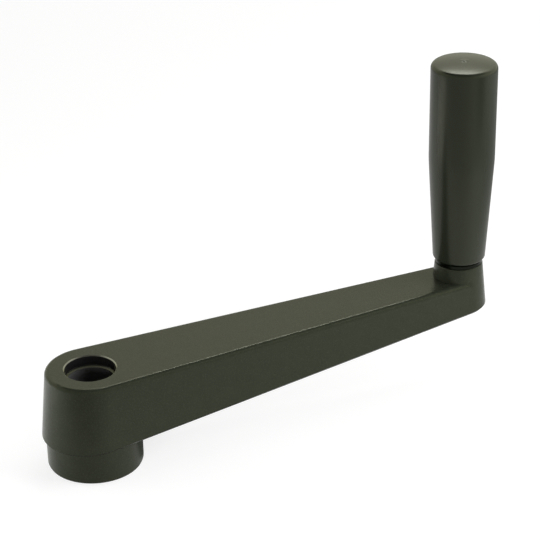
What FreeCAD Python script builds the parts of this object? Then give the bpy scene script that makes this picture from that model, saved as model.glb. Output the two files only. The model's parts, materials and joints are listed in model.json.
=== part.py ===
"""Revolving machine handle: a cast crank arm with a hub for a shaft, and a grip that spins on its own spindle.

Millimetres, +Z up. The origin is on the hub axis, in the flat face under the hub's foot.
The arm runs along +X, and the grip stands on it, parallel to the hub axis.
"""
import FreeCAD, Part
import os
from math import asin, cos, radians, sin, tan

from FreeCAD import Vector

os.makedirs("parts", exist_ok=True)

# Crank arm, cast in one piece
throw = 125.0               # hub axis to grip axis
arm_top = 31.0              # flat top of the arm over the foot
hub_diameter = 26.5         # hub outline in the plane of the top
end_diameter = 15.9         # outline round the grip's post, in the plane of the top
draft = 5.6                 # degrees, all sides get wider downwards
underside_at_hub = 10.6     # underside of the arm over the foot, on the hub axis
underside_at_end = 20.3     # and on the grip axis
top_rounding = 1.4
underside_chamfer = 0.65
foot_diameter = 28.4        # round foot that stands out below the arm
foot_rounding = 0.9

# The round post that carries the grip, one with the arm
post_height = 4.7           # over the arm's top
post_rounding = 0.4

# Bore for the shaft, with a wider recess at its top
bore_diameter = 14.0
recess_diameter = 15.0
recess_depth = 3.8
mouth_chamfer = 0.35
bore_chamfer = 0.5

# Spindle: a steel stud that screws into the post, with a collar and a journal for the grip
stud_diameter = 8.0
stud_length = 12.0
stud_chamfer = 1.0
undercut_depth = 0.8
undercut_width = 1.8
collar_diameter = 14.7
collar_height = 1.35
collar_chamfer = 0.25
journal_diameter = 10.0
journal_length = 52.0       # from the collar to the spindle's end
journal_chamfer = 0.8
socket_across_flats = 5.0   # key recess in the spindle's end, used before the grip is pushed on
socket_depth = 5.0

# Snap ring that holds the grip on the spindle
ring_width = 1.3            # flat wire, across
ring_thickness = 1.1        # and along the spindle
ring_groove_depth = 0.8
ring_from_end = 6.0         # ring's mid plane below the spindle's end
ring_opening = 40.0         # degrees cut out of the ring
ring_play = 0.1             # between the ring and each side of its groove

# Grip, moulded, closed at the top
grip_length = 65.4          # lower face to the crown of the dome
grip_low_diameter = 16.3    # at the lower face
grip_wide_diameter = 20.25  # from the end of the taper to the rim of the dome
grip_taper_height = 33.2
taper_blend = 70.0          # radius that eases the taper into the straight part
dome_rise = 1.7
rim_rounding = 1.0
grip_low_rounding = 0.8
grip_bore_chamfer = 0.6
gate_diameter = 2.2         # nub left by the moulding gate, in a shallow round dish
gate_height = 0.15          # over the crown of the dome
gate_dish_diameter = 3.8
gate_dish_depth = 0.12

# Clearances
journal_clearance = 0.05    # radial, between the journal and the grip's bore
face_clearance = 0.3        # between the grip and what doesn't turn with it
end_clearance = 1.0         # over the spindle's end, inside the grip
thread_lead_in = 0.5        # chamfer at the top of the tapped hole

overshoot = 1.0             # how far a cut runs on past the face that it opens
in_plane = 1e-4             # how near an edge lies to a plane that holds it


# Heights and places that follow from the sizes
post_top = arm_top + post_height
collar_top = post_top + collar_height
spindle_end = collar_top + journal_length
grip_bottom = collar_top + face_clearance
grip_crown = grip_bottom + grip_length
ring_height = spindle_end - ring_from_end
ring_inside = journal_diameter / 2 - ring_groove_depth + ring_play
ring_outside = ring_inside + ring_width
underside_slope = (underside_at_end - underside_at_hub) / throw


def disc(radius, low, high, x=0.0):
    return Part.makeCylinder(radius, high - low, Vector(x, 0, low))


def chamfer_ring(radius, size, z, x=0.0, up=True):
    """The cone that breaks the edge of a hole where it comes out at height z."""
    if up:
        return Part.makeCone(radius, radius + size, size, Vector(x, 0, z - size))
    return Part.makeCone(radius + size, radius, size, Vector(x, 0, z))


def turned(corners, x):
    """A solid of revolution about the vertical through x.

    A corner is (radius, height, rounding), and a rounding is two flats that touch its arc.
    """
    edges = []
    ends = []
    count = len(corners)
    for i in range(count):
        radius, height, rounding = corners[i]
        here = Vector(radius, 0, height)
        before = Vector(corners[i - 1][0], 0, corners[i - 1][1])
        after = Vector(corners[(i + 1) % count][0], 0, corners[(i + 1) % count][1])
        if rounding == 0:
            ends.append((here, here))
            continue
        to_before = (before - here).normalize()
        to_after = (after - here).normalize()
        half_angle = to_before.getAngle(to_after) / 2
        reach = rounding / tan(half_angle)
        middle = (to_before + to_after).normalize()
        centre = here + middle * (rounding / sin(half_angle))
        start = here + to_before * reach
        end = here + to_after * reach
        apex = centre - middle * rounding
        edges.append(Part.makeLine(start, apex))
        edges.append(Part.makeLine(apex, end))
        ends.append((start, end))
    for i in range(count):
        start = ends[i][1]
        end = ends[(i + 1) % count][0]
        edges.append(Part.makeLine(start, end))
    face = Part.Face(Part.Wire(Part.__sortEdges__(edges)))
    solid = face.revolve(Vector(0, 0, 0), Vector(0, 0, 1), 360)
    solid.translate(Vector(x, 0, 0))
    return solid


def drafted(radius, z):
    """The radius that a drafted side has at height z, from its radius in the plane of the arm's top."""
    return radius + (arm_top - z) * tan(radians(draft))


def outline(z):
    """The arm's outline at height z: the hub's arc and the end's arc, joined by their common tangents."""
    turn = asin((hub_diameter - end_diameter) / 2 / throw)
    hub = drafted(hub_diameter / 2, z)
    end = drafted(end_diameter / 2, z)
    hub_left = Vector(hub * sin(turn), hub * cos(turn), z)
    hub_right = Vector(hub * sin(turn), -hub * cos(turn), z)
    end_left = Vector(throw + end * sin(turn), end * cos(turn), z)
    end_right = Vector(throw + end * sin(turn), -end * cos(turn), z)
    return Part.Wire([
        Part.makeLine(hub_left, end_left),
        Part.Arc(end_left, Vector(throw + end, 0, z), end_right).toShape(),
        Part.makeLine(end_right, hub_right),
        Part.Arc(hub_right, Vector(-hub, 0, z), hub_left).toShape(),
    ])


def underside(x):
    return underside_at_hub + underside_slope * x


def below_arm():
    """Everything under the arm's sloping underside."""
    reach = throw + hub_diameter
    corners = [
        Vector(-reach, -reach, underside(-reach)),
        Vector(2 * reach, -reach, underside(2 * reach)),
        Vector(2 * reach, -reach, -reach),
        Vector(-reach, -reach, -reach),
    ]
    return Part.Face(Part.makePolygon(corners + corners[:1])).extrude(Vector(0, 2 * reach, 0))


def edges_at(shape, height):
    """The edges whose ends and middle lie at the height that height(x) gives."""
    def on_it(point):
        return abs(point.z - height(point.x)) < in_plane
    return [
        e for e in shape.Edges
        if all(on_it(v.Point) for v in e.Vertexes) and on_it(e.valueAt((e.FirstParameter + e.LastParameter) / 2))
    ]


def drafted_block():
    """The arm from z = 0 to its top: a cone at each end, and a true plane along each side."""
    loft = Part.makeLoft([outline(0), outline(arm_top)], True, True)
    faces = []
    for face in loft.Faces:
        if isinstance(face.Surface, Part.BSplineSurface):
            corners = [vertex.Point for vertex in face.OuterWire.OrderedVertexes]
            face = Part.Face(Part.makePolygon(corners + corners[:1]))
        faces.append(face)
    shell = Part.makeShell(faces)
    shell.sewShape()
    return Part.Solid(shell)


def crank_arm():
    arm = drafted_block().cut(below_arm())
    arm = arm.makeChamfer(underside_chamfer, edges_at(arm, underside))
    arm = arm.makeFillet(top_rounding, edges_at(arm, lambda x: arm_top))

    # The post goes on down inside the arm's end, with the same taper, so that the rounded top edge dies out on it
    post_foot = arm_top - top_rounding
    arm = arm.fuse(turned([
        (0, post_foot, 0),
        (drafted(end_diameter / 2, post_foot), post_foot, 0),
        (drafted(end_diameter / 2, post_top), post_top, post_rounding),
        (0, post_top, 0),
    ], throw))

    inside_hub = (underside_at_hub + arm_top) / 2
    arm = arm.fuse(turned([
        (0, 0, 0),
        (foot_diameter / 2, 0, foot_rounding),
        (foot_diameter / 2, inside_hub, 0),
        (0, inside_hub, 0),
    ], 0))

    bore_top = arm_top - recess_depth
    arm = arm.cut(disc(bore_diameter / 2, -overshoot, arm_top))
    arm = arm.cut(disc(recess_diameter / 2, bore_top, arm_top + overshoot))
    arm = arm.cut(chamfer_ring(recess_diameter / 2, mouth_chamfer, arm_top))
    arm = arm.cut(chamfer_ring(bore_diameter / 2, bore_chamfer, 0, up=False))

    arm = arm.cut(disc(stud_diameter / 2, 0, post_top + overshoot, throw))
    arm = arm.cut(chamfer_ring(stud_diameter / 2, thread_lead_in, post_top, throw))
    return arm


def spindle():
    """Turned from the stud's lower end to the journal's end, with a groove for the snap ring."""
    stud = stud_diameter / 2
    collar = collar_diameter / 2
    journal = journal_diameter / 2
    groove_low = ring_height - ring_thickness / 2 - ring_play
    groove_high = ring_height + ring_thickness / 2 + ring_play
    blank = turned([
        (0, post_top - stud_length, 0),
        (stud - stud_chamfer, post_top - stud_length, 0),
        (stud, post_top - stud_length + stud_chamfer, 0),
        (stud, post_top - undercut_width - undercut_depth, 0),
        (stud - undercut_depth, post_top - undercut_width, 0),
        (stud - undercut_depth, post_top, 0),
        (collar - collar_chamfer, post_top, 0),
        (collar, post_top + collar_chamfer, 0),
        (collar, collar_top - collar_chamfer, 0),
        (collar - collar_chamfer, collar_top, 0),
        (journal, collar_top, 0),
        (journal, groove_low, 0),
        (journal - ring_groove_depth, groove_low, 0),
        (journal - ring_groove_depth, groove_high, 0),
        (journal, groove_high, 0),
        (journal, spindle_end - journal_chamfer, 0),
        (journal - journal_chamfer, spindle_end, 0),
        (0, spindle_end, 0),
    ], throw)
    corner = socket_across_flats / 2 / cos(radians(30))
    hexagon = Part.makePolygon([
        Vector(throw + corner * cos(radians(60 * i)), corner * sin(radians(60 * i)), spindle_end - socket_depth)
        for i in range(7)
    ])
    return blank.cut(Part.Face(hexagon).extrude(Vector(0, 0, socket_depth + overshoot)))


def snap_ring():
    """Flat spring wire bent to an open ring."""
    low = ring_height - ring_thickness / 2
    high = ring_height + ring_thickness / 2
    ring = turned([
        (ring_inside, low, 0),
        (ring_outside, low, 0),
        (ring_outside, high, 0),
        (ring_inside, high, 0),
    ], throw)
    half = radians(ring_opening / 2)
    reach = 2 * ring_outside
    centre = Vector(throw, 0, low)
    gap = Part.makePolygon([
        centre,
        centre + Vector(reach * cos(half), -reach * sin(half), 0),
        centre + Vector(reach * cos(half), reach * sin(half), 0),
        centre,
    ])
    return ring.cut(Part.Face(gap).extrude(Vector(0, 0, ring_thickness)))


def grip():
    """A long cone that straightens towards a domed crown, over a blind bore with a groove for the snap ring."""
    bore = journal_diameter / 2 + journal_clearance
    bore_top = spindle_end + end_clearance
    groove = ring_outside + face_clearance
    groove_low = ring_height - ring_thickness / 2 - face_clearance
    groove_high = ring_height + ring_thickness / 2 + face_clearance
    rim = grip_wide_diameter / 2
    dome_radius = (rim * rim + dome_rise * dome_rise) / (2 * dome_rise)
    rim_slope = asin(rim / dome_radius)
    body = turned([
        (0, bore_top, 0),
        (bore, bore_top, 0),
        (bore, groove_high, 0),
        (groove, groove_high, 0),
        (groove, groove_low, 0),
        (bore, groove_low, 0),
        (bore, grip_bottom + grip_bore_chamfer, 0),
        (bore + grip_bore_chamfer, grip_bottom, 0),
        (grip_low_diameter / 2, grip_bottom, grip_low_rounding),
        (rim, grip_bottom + grip_taper_height, taper_blend),
        (rim, grip_crown - dome_rise, rim_rounding),
        (0, grip_crown - dome_rise + rim * tan(rim_slope), 0),
    ], throw)
    over_dome = disc(2 * rim, grip_crown - 2 * dome_rise, grip_crown + 2 * dome_rise, throw)
    over_dome = over_dome.cut(Part.makeSphere(dome_radius, Vector(throw, 0, grip_crown - dome_radius)))
    body = body.cut(over_dome)
    body = body.cut(disc(gate_dish_diameter / 2, grip_crown - gate_dish_depth, grip_crown + overshoot, throw))
    nub = disc(gate_diameter / 2, grip_crown - 2 * gate_dish_depth, grip_crown + gate_height, throw)
    return body.fuse(nub)


pieces = {
    "crank_arm": crank_arm(),
    "spindle": spindle(),
    "snap_ring": snap_ring(),
    "grip": grip(),
}
for name, shape in pieces.items():
    shape = shape.removeSplitter()
    box = shape.BoundBox
    print(name, "valid", shape.isValid(), "solids", len(shape.Solids), "volume cm3", round(shape.Volume / 1000, 3),
          "box", [round(v, 2) for v in (box.XMin, box.YMin, box.ZMin, box.XMax, box.YMax, box.ZMax)])
    shape.exportStep(f"parts/{name}.step")
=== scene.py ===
# %% [markdown]
# # A revolving machine handle, dressed in Blender
#
# The object is a crank handle: a cast arm with a bored hub at one end, and a grip that spins on a steel
# spindle at the other. Its construction comes ready as a frame of four nodes at their real size, in metres.
# This lesson sets up the camera and gives the object its looks: the textured coating on the casting, the
# machined hole, the blackened steel and the moulded grip. Last comes the studio round it.

# %% Load the frame
import json
from math import cos, pi, radians, sin, sqrt, tan

import bmesh
import bpy
from mathutils import Matrix, Vector

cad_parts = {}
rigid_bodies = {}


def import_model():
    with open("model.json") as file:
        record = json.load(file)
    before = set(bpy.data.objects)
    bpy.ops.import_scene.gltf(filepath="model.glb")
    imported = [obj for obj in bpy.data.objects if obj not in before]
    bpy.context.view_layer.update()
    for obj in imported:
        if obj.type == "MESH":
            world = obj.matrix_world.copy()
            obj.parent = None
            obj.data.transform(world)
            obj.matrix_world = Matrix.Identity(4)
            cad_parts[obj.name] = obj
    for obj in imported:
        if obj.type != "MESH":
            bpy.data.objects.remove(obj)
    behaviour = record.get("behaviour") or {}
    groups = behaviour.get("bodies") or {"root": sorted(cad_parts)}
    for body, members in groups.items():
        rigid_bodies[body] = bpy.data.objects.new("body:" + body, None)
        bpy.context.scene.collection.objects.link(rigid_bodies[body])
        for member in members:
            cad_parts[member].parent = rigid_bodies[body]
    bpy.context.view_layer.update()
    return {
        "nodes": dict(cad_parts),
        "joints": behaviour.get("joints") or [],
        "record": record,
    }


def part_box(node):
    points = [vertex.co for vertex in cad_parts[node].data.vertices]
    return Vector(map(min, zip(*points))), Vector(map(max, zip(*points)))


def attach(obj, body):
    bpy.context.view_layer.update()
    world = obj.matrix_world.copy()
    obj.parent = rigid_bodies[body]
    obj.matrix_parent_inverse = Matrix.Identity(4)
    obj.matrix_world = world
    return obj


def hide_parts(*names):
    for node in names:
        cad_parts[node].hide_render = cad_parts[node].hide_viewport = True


bpy.ops.object.select_all(action="SELECT")
bpy.ops.object.delete()

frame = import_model()
nodes = frame["nodes"]
mm = 0.001

# %% [markdown]
# ## Where the main parts are
#
# The finishes and the grip need a few heights and radii. They could be typed in. Here they are read from the
# frame, so that they stay right when it changes: the shaft's hole from its two mounts, the grip's axis from
# its joint, and the grip's ends from its box.

# %% Heights and axes
record = frame["record"]
mounts = {mount["name"]: mount for mount in record["mounts"]}
bore_radius = mounts["hub_bore"]["dims"]["r_mm"] * mm
recess_radius = mounts["hub_recess"]["dims"]["r_mm"] * mm
recess_floor = mounts["hub_recess"]["pos_m"][2] - mounts["hub_recess"]["dims"]["length_mm"] * mm / 2
grip_axis_x = frame["joints"][0]["pos_m"][0]
grip_low, grip_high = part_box("grip")
print("bore radius", bore_radius, "recess floor", round(recess_floor, 4), "grip axis at x =", grip_axis_x)

# %% [markdown]
# ## The camera
#
# The view is from the left and above, through a long lens: the two sides of the arm stay nearly parallel.
# The camera looks at a point low between hub and grip, and is rolled by a degree. It could be aimed with a
# Track To constraint, but a matrix from its own three directions holds the roll as well.

# %% Camera
azimuth = radians(-26.309)
elevation = radians(27.244)
roll = radians(-1.096)
distance = 0.58224
look_at = Vector((0.058854, 0, 0.04843))

back = Vector((sin(azimuth) * cos(elevation), -cos(azimuth) * cos(elevation), sin(elevation)))
level_right = Vector((cos(azimuth), sin(azimuth), 0))
level_up = back.cross(level_right)
right = cos(roll) * level_right + sin(roll) * level_up
up = cos(roll) * level_up - sin(roll) * level_right
turned = Matrix((right, up, back)).transposed().to_4x4()

camera = bpy.data.objects.new("camera", bpy.data.cameras.new("camera"))
camera.data.sensor_width = 36
camera.data.lens = 130.305
camera.data.clip_start = 0.05
camera.data.clip_end = 20
camera.matrix_world = Matrix.Translation(look_at + distance * back) @ turned
bpy.context.scene.collection.objects.link(camera)
bpy.context.scene.camera = camera
print("camera at", [round(v, 3) for v in camera.matrix_world.translation])

# %% [markdown]
# ## Shader maths as Python
#
# A finish is a small calculation that runs at every point of a surface. Wired by hand it takes a screen
# full of nodes. Here a socket is wrapped in a class that knows + - * and powers, so that the calculation
# reads as an expression. Everything that isn't plain arithmetic comes from one method, `node`.

# %% Fields
class Field:
    """An output socket that can be used in sums and products."""

    def __init__(self, board, socket):
        self.board = board
        self.socket = socket

    def math(self, operation, first, second):
        return self.board.node("ShaderNodeMath", {"operation": operation}, {0: first, 1: second})

    def __add__(self, other):
        return self.math("ADD", self, other)

    __radd__ = __add__

    def __sub__(self, other):
        return self.math("SUBTRACT", self, other)

    def __rsub__(self, other):
        return self.math("SUBTRACT", other, self)

    def __mul__(self, other):
        return self.math("MULTIPLY", self, other)

    __rmul__ = __mul__

    def __pow__(self, other):
        return self.math("POWER", self, other)


# %% Boards
class Board:
    """The node tree of a material or of the world, with the shader that the fields feed."""

    def __init__(self, owner, shader):
        owner.use_nodes = True
        self.nodes = owner.node_tree.nodes
        self.links = owner.node_tree.links
        self.shader = self.nodes[shader]

    def node(self, kind, settings, values, output=0):
        """Adds one node: its settings first, then the values or links of its sockets."""
        node = self.nodes.new(kind)
        for key, value in settings.items():
            setattr(node, key, value)
        for key, value in values.items():
            if isinstance(value, Field):
                self.links.new(value.socket, node.inputs[key])
            else:
                node.inputs[key].default_value = value
        return Field(self, node.outputs[output])

    def feed(self, **fields):
        for key, field in fields.items():
            self.links.new(field.socket, self.shader.inputs[key.replace("_", " ")])

    def above(self, value, low, high):
        """0 where the value is below low, 1 above high, eased between."""
        return self.node("ShaderNodeMapRange", {"interpolation_type": "SMOOTHSTEP"},
                         {"Value": value, "From Min": low, "From Max": high})

    def below(self, value, low, high):
        """1 where the value is below low, 0 above high, eased between."""
        return 1 - self.above(value, low, high)

    def blend(self, share, first, second):
        """A colour between two colours."""
        return self.node("ShaderNodeMix", {"data_type": "RGBA"}, {"Factor": share, 6: first, 7: second}, 2)

    def along(self, vector, direction):
        """How far a vector reaches in a direction."""
        return self.node("ShaderNodeVectorMath", {"operation": "DOT_PRODUCT"},
                         {0: vector, 1: direction}, "Value")

    def seen(self):
        """1 for what the camera sees directly."""
        return self.node("ShaderNodeLightPath", {}, {}, "Is Camera Ray")

    def mirrored(self):
        """1 for what a surface mirrors or lets through."""
        glossy = self.node("ShaderNodeLightPath", {}, {}, "Is Glossy Ray")
        return glossy + self.node("ShaderNodeLightPath", {}, {}, "Is Transmission Ray")


# %% Finishes
class Finish(Board):
    """A material with its Principled shader, whose fixed values are set on the shader's own sockets."""

    def __init__(self, name, **fixed):
        self.material = bpy.data.materials.new(name)
        super().__init__(self.material, "Principled BSDF")
        for key, value in fixed.items():
            self.shader.inputs[key.replace("_", " ")].default_value = value

    def place(self, axis=None):
        """Where the point is on the part, in metres, or one of its three numbers."""
        point = self.node("ShaderNodeTexCoord", {}, {}, "Object")
        if axis is None:
            return point
        return self.node("ShaderNodeSeparateXYZ", {}, {0: point}, axis)

    def speckle(self, size, detail=2, stretch=(1, 1, 1)):
        """Noise from 0 to 1 whose grains are about `size` metres across."""
        point = self.place()
        if stretch != (1, 1, 1):
            point = self.node("ShaderNodeVectorMath", {"operation": "MULTIPLY"}, {0: point, 1: stretch})
        return self.node("ShaderNodeTexNoise", {}, {"Vector": point, "Scale": 1 / size, "Detail": detail})

    def relief(self, height, depth):
        """Bumps of the given depth in metres, on the shader's normal."""
        bump = self.node("ShaderNodeBump", {}, {"Height": height, "Distance": depth, "Strength": 1.0})
        self.feed(Normal=bump)

    def done(self):
        print(self.material.name, "has", len(self.nodes), "nodes")
        return self.material


def rgb(red, green, blue):
    return (red, green, blue, 1)


# %% [markdown]
# ## The coating on the casting
#
# The arm is cast aluminium under a baked coating, dark olive grey, with the fine grain that such coatings
# dry to. The grain could be modelled, or painted on an image. Noise in the shader is simpler: it has no
# seams, and it stays sharp from near. There are two scales. Grains of a third of a millimetre stand as
# relief and vary the gloss, and their tops are painted lighter, a painted highlight on the relief. Softer
# unevenness, 4 mm wide, bends the reflections and shifts the colour.
#
# The hole is machined after coating. Its wall above the ledge is painted very dark, a painted shade in the
# recess, and below the ledge the bore is grey. The mouth and the ledge get a light metal colour, a painted
# highlight on their edges, and the tapped hole in the post is left uncoated by the tool. These could be
# separate meshes. They belong to one casting, though, so the finish finds them by their distance from the
# two axes and by their height.

# %% Where the casting is machined
mouth_chamfer = 0.35 * mm
stud_radius = 4.0 * mm
thread_lead_in = 0.5 * mm


def machined(finish):
    """Shares from 0 to 1: uncoated metal, which at the mouth and ledge is a painted highlight; the hole's
    walls, with painted shade in the recess; and the depth of the hole under its ledge.
    """
    hub_wall = (recess_radius + 0.02 * mm, recess_radius + 0.05 * mm)
    mouth_radius = recess_radius + mouth_chamfer
    mouth_edge = (mouth_radius - 0.05 * mm, mouth_radius + 0.05 * mm)
    bore_edge = (bore_radius + 0.02 * mm, bore_radius + 0.06 * mm)
    ledge_top = (recess_floor + 0.05 * mm, recess_floor + 0.15 * mm)
    thread_radius = stud_radius + thread_lead_in
    thread_edge = (thread_radius + 0.1 * mm, thread_radius + 0.2 * mm)
    under_ledge = (recess_floor - 1.0 * mm, recess_floor)

    x = finish.place("X")
    y = finish.place("Y")
    z = finish.place("Z")
    from_hub_axis = (x * x + y * y) ** 0.5
    from_grip_axis = ((x - grip_axis_x) * (x - grip_axis_x) + y * y) ** 0.5
    inside_hub = finish.below(from_hub_axis, *hub_wall)
    # the mouth and the ledge take a light metal colour, a painted highlight on their edges
    mouth = finish.below(from_hub_axis, *mouth_edge) - inside_hub
    ledge = inside_hub * finish.above(from_hub_axis, *bore_edge) * finish.below(z, *ledge_top)
    tapped = finish.below(from_grip_axis, *thread_edge)
    deep = inside_hub * finish.below(z, *under_ledge)
    return mouth + ledge + tapped, inside_hub - ledge, deep


# %% Coated casting
def coated_casting():
    dark_olive = rgb(0.020, 0.024, 0.016)
    light_olive = rgb(0.027, 0.031, 0.021)
    # a painted highlight: the lighter colour on the tops of the grain
    grain_top_highlight = rgb(0.035, 0.038, 0.026)
    # painted shade: the very dark wall of the recess above the ledge
    recess_painted_shade = rgb(0.011, 0.011, 0.011)
    grey_bore = rgb(0.10, 0.10, 0.10)
    # uncoated metal at the thread, and a painted highlight at the mouth and ledge
    bare_metal_and_highlight = rgb(0.30, 0.30, 0.29)
    mark_spacing = 1.1844 * mm

    finish = Finish("coated_casting_finish", IOR=1.33, Specular_Tint=rgb(0.95, 1, 0.69))
    bare_and_highlight, hole_walls, deep = machined(finish)
    grain = finish.speckle(0.35 * mm, detail=3)
    unevenness = finish.speckle(4 * mm)
    # where the painted highlight lies: the grain's tops
    grain_tops = finish.above(grain, 0.45, 0.75)
    olive = finish.blend(unevenness, dark_olive, light_olive)
    olive = finish.blend(grain_tops, olive, grain_top_highlight)
    inside = finish.blend(deep, recess_painted_shade, grey_bore)
    finish.feed(
        Base_Color=finish.blend(bare_and_highlight, finish.blend(hole_walls, olive, inside), bare_metal_and_highlight),
        Metallic=bare_and_highlight,
        Roughness=0.12 + 0.08 * grain + 0.14 * bare_and_highlight,
    )

    # At scale 1, Blender's wave texture turns through 20 radians in a metre
    turning = finish.node("ShaderNodeTexWave", {"wave_type": "BANDS", "bands_direction": "Z"},
                          {"Vector": finish.place(), "Scale": 2 * pi / mark_spacing / 20, "Distortion": 0.4})
    coated = finish.below(hole_walls + bare_and_highlight, 0.4, 0.6)
    finish.relief(coated * (0.65 * grain + 0.4 * unevenness) + hole_walls * 0.3 * turning, 0.05 * mm)
    return finish.done()


# %% [markdown]
# ## Edges that are soft to the eye
#
# The casting's upper edge is round, and a round edge shows as a thin even line of light. Its faces are long
# strips, and shaded one by one they would break that line. A bevel would change the form, so the shape
# stays and only its shading turns: equal points are merged, sharp machined edges are marked, and the
# normals lean towards the larger faces, so that the strips shade into one another.

# %% Casting with softened edges
def softened(node, body, finish, sharp_angle):
    """A copy of a solid that stands in for it, with the same form and smoother shading."""
    same_point = 0.001 * mm
    piece = bpy.data.objects.new(node + "_surface", nodes[node].data.copy())
    bpy.context.scene.collection.objects.link(piece)
    shape = bmesh.new()
    shape.from_mesh(piece.data)
    bmesh.ops.remove_doubles(shape, verts=shape.verts, dist=same_point)
    for face in shape.faces:
        face.smooth = True
        face.material_index = 0
    for edge in shape.edges:
        edge.smooth = edge.is_manifold and edge.calc_face_angle(0) < radians(sharp_angle)
    piece.data.materials.clear()
    shape.to_mesh(piece.data)
    shape.free()
    if "custom_normal" in piece.data.attributes:
        piece.data.attributes.remove(piece.data.attributes["custom_normal"])
    piece.data.materials.append(finish)
    weighted = piece.modifiers.new("weighted_normals", "WEIGHTED_NORMAL")
    weighted.keep_sharp = True
    weighted.weight = 80
    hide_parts(node)
    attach(piece, body)
    print(piece.name, "faces", len(piece.data.polygons))


softened("crank_arm", "crank", coated_casting(), sharp_angle=40)

# %% [markdown]
# ## Blackened steel and spring wire
#
# The spindle is turned, then blackened and oiled: nearly black, glossy, with faint rings from the turning
# tool. The snap ring inside the grip is bright flat wire, and only shows when the handle is taken apart.
# Noise that is drawn out sideways gives the rings, so one finish with two pairs of colours serves both.
# Their nodes keep their own meshes, because plain turned steel needs no more than a material.

# %% Steels
def turned_steel(name, dark, light):
    finish = Finish(name, Metallic=1.0)
    rings = finish.speckle(0.12 * mm, stretch=(0.02, 0.02, 1))
    cloud = finish.speckle(2 * mm)
    finish.feed(
        Base_Color=finish.blend(cloud, dark, light),
        Roughness=0.22 + 0.12 * rings,
    )
    finish.relief(rings, 0.004 * mm)
    return finish.done()


black_steel = turned_steel("black_steel_finish", rgb(0.014, 0.017, 0.012), rgb(0.021, 0.024, 0.018))
spring_steel = turned_steel("spring_steel_finish", rgb(0.42, 0.42, 0.43), rgb(0.5, 0.5, 0.51))
nodes["spindle"].material_slots[0].material = black_steel
nodes["snap_ring"].material_slots[0].material = spring_steel

# %% [markdown]
# ## The moulded grip's skin
#
# The grip is moulded in plastic of nearly the same colour, with a finer grain than the coating: it shows
# soft highlights along its sides and a bright crescent on its crown. The grain comes from the mould, and a
# faint long unevenness from the way the plastic flowed. An image could carry both, but the grip is round
# and noise needs no seam.

# %% Moulded grip
def moulded_grip():
    dark_plastic = rgb(0.016, 0.019, 0.012)
    light_plastic = rgb(0.019, 0.022, 0.015)
    finish = Finish("moulded_grip_finish", IOR=1.44, Specular_Tint=rgb(0.96, 1, 0.78))
    grain = finish.speckle(0.15 * mm)
    flow = finish.speckle(6 * mm, stretch=(1, 1, 0.25))
    finish.feed(
        Base_Color=finish.blend(flow, dark_plastic, light_plastic),
        Roughness=0.22 + 0.07 * grain,
    )
    finish.relief(0.5 * grain + 0.5 * flow, 0.01 * mm)
    return finish.done()


# %% [markdown]
# ## Tools for a round piece
#
# The grip is round everywhere, so it is one outline swept about its axis, as on a lathe. The Screw modifier
# could sweep it. A mesh made here has each point where it is wanted, with no modifier to keep. The
# outline's corners are given with their roundings, and become true arcs.

# %% Outline with rounded corners
def rounded(corners, steps=12):
    """Points along an outline of (radius, height, rounding) corners, each rounding a true arc."""
    points = []
    for i, (radius, height, rounding) in enumerate(corners):
        here = Vector((radius, height))
        if rounding == 0:
            points.append(here)
            continue
        to_before = (Vector(corners[i - 1][:2]) - here).normalized()
        to_after = (Vector(corners[i + 1][:2]) - here).normalized()
        half_angle = to_before.angle(to_after) / 2
        inward = (to_before + to_after).normalized()
        centre = here + inward * (rounding / sin(half_angle))
        start = here + to_before * (rounding / tan(half_angle)) - centre
        end = here + to_after * (rounding / tan(half_angle)) - centre
        turn = start.angle_signed(end)
        for step in range(steps + 1):
            angle = -turn * step / steps
            points.append(centre + Vector((start.x * cos(angle) - start.y * sin(angle),
                                           start.x * sin(angle) + start.y * cos(angle))))
    return points


# %% Lathe
def lathe(name, outline, axis_x, segments, finish, sharp_angle):
    """A round piece: the outline, from its top point to its last, swept about a vertical axis."""
    on_axis = 0.0001 * mm
    shape = bmesh.new()
    rings = []
    for point in outline:
        if point.x < on_axis:
            rings.append([shape.verts.new((axis_x, 0, point.y))])
            continue
        angles = [2 * pi * k / segments for k in range(segments)]
        rings.append([shape.verts.new((axis_x + point.x * cos(angle), point.x * sin(angle), point.y))
                      for angle in angles])
    for upper, lower in zip(rings, rings[1:]):
        for k in range(segments):
            after = (k + 1) % segments
            corners = [upper[k % len(upper)], lower[k % len(lower)],
                       lower[after % len(lower)], upper[after % len(upper)]]
            shape.faces.new(list(dict.fromkeys(corners)))
    bmesh.ops.recalc_face_normals(shape, faces=shape.faces)
    for face in shape.faces:
        face.smooth = True
    for edge in shape.edges:
        edge.smooth = edge.calc_face_angle(0) < radians(sharp_angle)
    mesh = bpy.data.meshes.new(name)
    shape.to_mesh(mesh)
    shape.free()
    mesh.materials.append(finish)
    piece = bpy.data.objects.new(name, mesh)
    bpy.context.scene.collection.objects.link(piece)
    print(name, "faces", len(mesh.polygons))
    return piece


# %% [markdown]
# ## The grip's crown
#
# The crown is a shallow dome with a round rim, on which the bright crescent lies. At its middle is the
# small nub that the moulding gate left, in a shallow dish. The dome could be one more arc of the outline,
# but its points come from the circle's formula, so that the dish can end on it at any radius. The dome is
# flatter and its rim a little higher than in the solid, as on the real grip.

# %% Crown and nub
wide_radius = (grip_high.x - grip_low.x) / 2
crown = grip_high.z - 0.45 * mm
crown_rise = 1.1 * mm
crown_radius = (wide_radius ** 2 + crown_rise ** 2) / (2 * crown_rise)


def on_crown(radius):
    return crown - crown_radius + sqrt(crown_radius ** 2 - radius ** 2)


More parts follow.
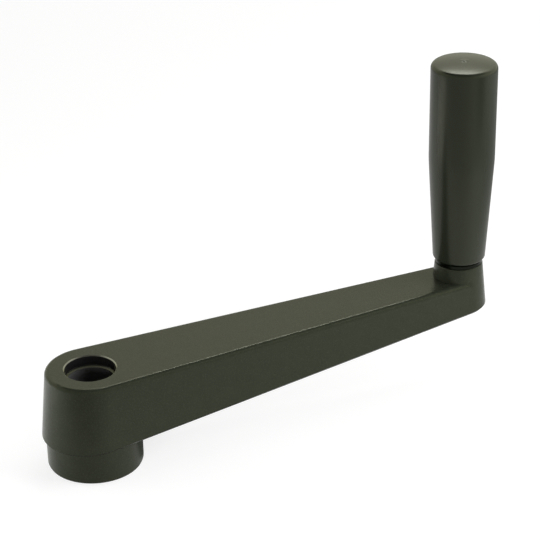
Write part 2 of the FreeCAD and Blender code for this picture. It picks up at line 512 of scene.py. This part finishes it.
nub_and_dish = [(0, 0.20), (0.8, 0.18), (1.1, 0.09), (1.35, -0.03), (1.6, -0.05)]
dome_radii = (1.9, 2.5, 3.5, 4.5, 5.5, 6.5, 7.2)
crown_corners = [(radius * mm, crown + rise * mm, 0) for radius, rise in nub_and_dish]
crown_corners += [(radius * mm, on_crown(radius * mm), 0) for radius in dome_radii]
print("crown at", round(crown / mm, 2), "mm, dome radius", round(crown_radius / mm, 1), "mm")

# %% [markdown]
# ## The grip
#
# Under the crown the side runs straight, then tapers to the foot. A long arc eases the one into the other,
# and a small one rounds the foot. Inside are the blind bore for the spindle and the groove for the snap
# ring. They could be left out, since the spindle hides them, but with them the piece is whole when the
# handle is taken apart.

# %% Grip
grip_bottom = grip_low.z
low_radius = 8.15 * mm
taper_top = grip_bottom + 33.2 * mm
rim_rounding = 1.5 * mm
taper_blend = 70 * mm
foot_rounding = 0.8 * mm
bore_chamfer = 0.6 * mm
bore_inside = 5.05 * mm
bore_end = 90.05 * mm
groove_inside = 5.9 * mm
groove_low = 82.2 * mm
groove_high = 83.9 * mm

grip_outline = rounded(crown_corners + [
    (wide_radius, crown - crown_rise, rim_rounding),
    (wide_radius, taper_top, taper_blend),
    (low_radius, grip_bottom, foot_rounding),
    (bore_inside + bore_chamfer, grip_bottom, 0),
    (bore_inside, grip_bottom + bore_chamfer, 0),
    (bore_inside, groove_low, 0),
    (groove_inside, groove_low, 0),
    (groove_inside, groove_high, 0),
    (bore_inside, groove_high, 0),
    (bore_inside, bore_end, 0),
    (0, bore_end, 0),
])
grip_skin = lathe("grip_skin", grip_outline, grip_axis_x, 160, moulded_grip(), sharp_angle=40)
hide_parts("grip")
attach(grip_skin, "turning_grip")

# %% [markdown]
# ## The floor
#
# The handle stands on pale matt paper. A shadow catcher would need compositing, so the floor is a plain
# sheet. To the camera most of its white is its own and the rest is lit, which keeps the shadow beside the
# foot visible but faint. In the coating's reflections it is dimmer, and darker still with painted shade: a
# painted shadow under the arm, and painted shade far to the right and in front. That keeps the right sides
# of foot and grip and the middle of hub and grip dark.
# The sheet lies a hair under the foot, so that the two faces don't fight for the same place.

# %% Directions in the studio
to_right = level_right
to_back = Vector((-back.x, -back.y, 0)).normalized()
to_sky = Vector((0, 0, 1))


def toward(right_share, back_share, sky_share):
    return right_share * to_right + back_share * to_back + sky_share * to_sky


print("to the right", [round(v, 3) for v in to_right], "to the back", [round(v, 3) for v in to_back])


# %% Where shade is painted on the floor
def painted_floor_shade(finish):
    """How much painted shade darkens the floor for what mirrors it: a painted shadow under the arm, and
    painted shade far to the right and in front.
    """
    arm_start = (0.011, 0.015)
    arm_end = (0.04, 0.07)
    arm_near_side = (-0.012, -0.006)
    arm_far_side = (0.012, 0.035)
    right_edge = (0.15, 0.26)
    front_edge = (-0.075, -0.045)
    most_on_right = 0.6
    most_in_front = 0.35
    most_under_arm = 0.85

    x = finish.place("X")
    y = finish.place("Y")
    along_arm = finish.above(x, *arm_start) * finish.below(x, *arm_end)
    across_arm = finish.above(y, *arm_near_side) * finish.below(y, *arm_far_side)
    far_right = finish.above(finish.along(finish.place(), toward(0.9, 0.44, 0)), *right_edge)
    in_front = finish.below(finish.along(finish.place(), to_back), *front_edge)
    away = most_on_right * far_right + most_in_front * in_front
    return away + most_under_arm * (1 - away) * along_arm * across_arm


# %% Floor finish
white = rgb(1, 1, 1)
no_light = rgb(0, 0, 0)


def pale_floor():
    own_light_near = 0.775
    own_light_far = 1.0
    own_light_mirrored = 0.42
    far_edge = (0.35, 1.2)
    seen_grey = rgb(0.31, 0.31, 0.31)
    lit_grey = rgb(0.40, 0.40, 0.40)

    finish = Finish("floor_finish", Roughness=1.0, Emission_Strength=1.0)
    seen = finish.seen()
    mirrored = finish.mirrored()
    # painted shadow and shade, only in the floor's reflections
    dim = mirrored * painted_floor_shade(finish)
    from_middle = finish.node("ShaderNodeVectorMath", {"operation": "LENGTH"}, {0: finish.place()}, "Value")
    to_camera = own_light_near + (own_light_far - own_light_near) * finish.above(from_middle, *far_edge)
    own_light = seen * to_camera + mirrored * (1 - dim) * own_light_mirrored
    paper = finish.blend(seen, lit_grey, seen_grey)
    paper_grain = 0.06 * finish.speckle(3 * mm)
    finish.feed(
        # the painted shade also darkens the paper's colour for what mirrors it; the paper grain is its own
        Base_Color=finish.blend(dim + paper_grain, paper, no_light),
        Emission_Color=finish.blend(own_light, no_light, white),
    )
    return finish.done()


# %% Floor sheet
floor_half = 6
floor_height = -0.02 * mm
floor_corners = [(-floor_half, -floor_half), (floor_half, -floor_half)]
floor_corners += [(floor_half, floor_half), (-floor_half, floor_half)]
floor_mesh = bpy.data.meshes.new("floor")
floor_mesh.from_pydata([(x, y, floor_height) for x, y in floor_corners], [], [(0, 1, 2, 3)])
floor_mesh.materials.append(pale_floor())
floor = bpy.data.objects.new("floor", floor_mesh)
bpy.context.scene.collection.objects.link(floor)
print("floor", 2 * floor_half, "m wide at", floor_height / mm, "mm")

# %% [markdown]
# ## The room
#
# What a glossy coating shows is the room round it, so the room is drawn for its reflection. It could be an
# image of a real studio. A few bands by direction do the same and are easy to tune. A white wall rises to
# 50 degrees. It is little more than half as bright at the camera's side, and brightest at its top at the
# back, where the lamp hangs. The arm's flat top mirrors it. Over the wall is a dim ceiling, so that each
# edge that turns away from the wall goes dark at once. The reflections have a slight tint, and the camera
# sees plain white. As a light the room is only a dim grey.

# %% Room
def climb(angle):
    """The height of a direction that rises by so many degrees."""
    return sin(radians(angle))


wall_in_front = 0.5
wall_at_back = 0.88
lamp_glow = 0.9
ceiling_strength = 0.10
as_light = 0.06
mirrored_tint = rgb(1, 1, 0.79)
ceiling_start = (climb(47), climb(53))
glow_start = (climb(29), climb(45))
back_of_room = (0.3, 0.6)
side_of_room = (-0.6, 0.1)

world = bpy.data.worlds.new("studio")
bpy.context.scene.world = world
room = Board(world, "Background")
direction = room.node("ShaderNodeTexCoord", {}, {}, "Generated")
height = room.node("ShaderNodeSeparateXYZ", {}, {0: direction}, "Z")
backward = room.along(direction, to_back)
ceiling = room.above(height, *ceiling_start)
glow = room.above(height, *glow_start) * room.above(backward, *back_of_room)
wall = wall_in_front + (wall_at_back - wall_in_front) * room.above(backward, *side_of_room)
wall = wall + lamp_glow * glow
seen = room.seen()
mirrored = room.mirrored()
in_mirror = wall + (ceiling_strength - wall) * ceiling
room.feed(
    Strength=seen + mirrored * in_mirror + (1 - seen - mirrored) * as_light,
    Color=room.blend(mirrored, white, mirrored_tint),
)
print("room of", len(room.nodes), "nodes, as a light", as_light)

# %% [markdown]
# ## The lamps
#
# Real studio lamps are softboxes, so these are area lamps. One hangs at the top of the back wall and is the
# only one that is mirrored: it draws the bright line on the arm's near edge and the crescent on the crown.
# The others only light: one overhead, one low at the left by the hub, one at the right and one in front.
# Mirrored, they would draw streaks on the grip. A lamp could be given by its power alone. Here it is given
# by how bright its face is against white, so it can be resized without a new guess.

# %% Softboxes
middle = Vector((0.06, 0, 0.03))


def softbox(name, direction, distance, size, brightness, mirrored=False):
    """A lamp that faces the object's middle. Its brightness is against white, as it shows in a mirror."""
    lamp = bpy.data.lights.new(name, "AREA")
    lamp.shape = "RECTANGLE"
    width, depth = size
    lamp.size = width
    lamp.size_y = depth
    lamp.energy = brightness * pi * width * depth
    holder = bpy.data.objects.new(name, lamp)
    holder.location = middle + distance * direction.normalized()
    holder.rotation_euler = (-direction).to_track_quat("-Z", "Y").to_euler()
    holder.visible_glossy = mirrored
    bpy.context.scene.collection.objects.link(holder)
    print(name, "lamp", round(lamp.energy, 2), "W")


softbox("behind", toward(0.086, 0.67, 0.738), distance=1.6, size=(0.60, 0.14), brightness=13, mirrored=True)
softbox("overhead", toward(0.28, 0.32, 0.905), distance=1.1, size=(0.7, 0.7), brightness=2.0)
softbox("left", toward(-0.20, 0, -0.012), distance=0.2, size=(0.12, 0.06), brightness=17)
softbox("right", toward(0.50, -0.06, 0.18), distance=0.55, size=(0.4, 0.45), brightness=7.8)
softbox("front", toward(-0.35, -0.90, 0.22), distance=1.5, size=(0.6, 0.4), brightness=8.5)

# %% [markdown]
# ## Colours as written
#
# The Standard view keeps a colour as it is written, where a filmic one would bend the dark olive.

# %% Colours as written
bpy.context.scene.view_settings.view_transform = "Standard"
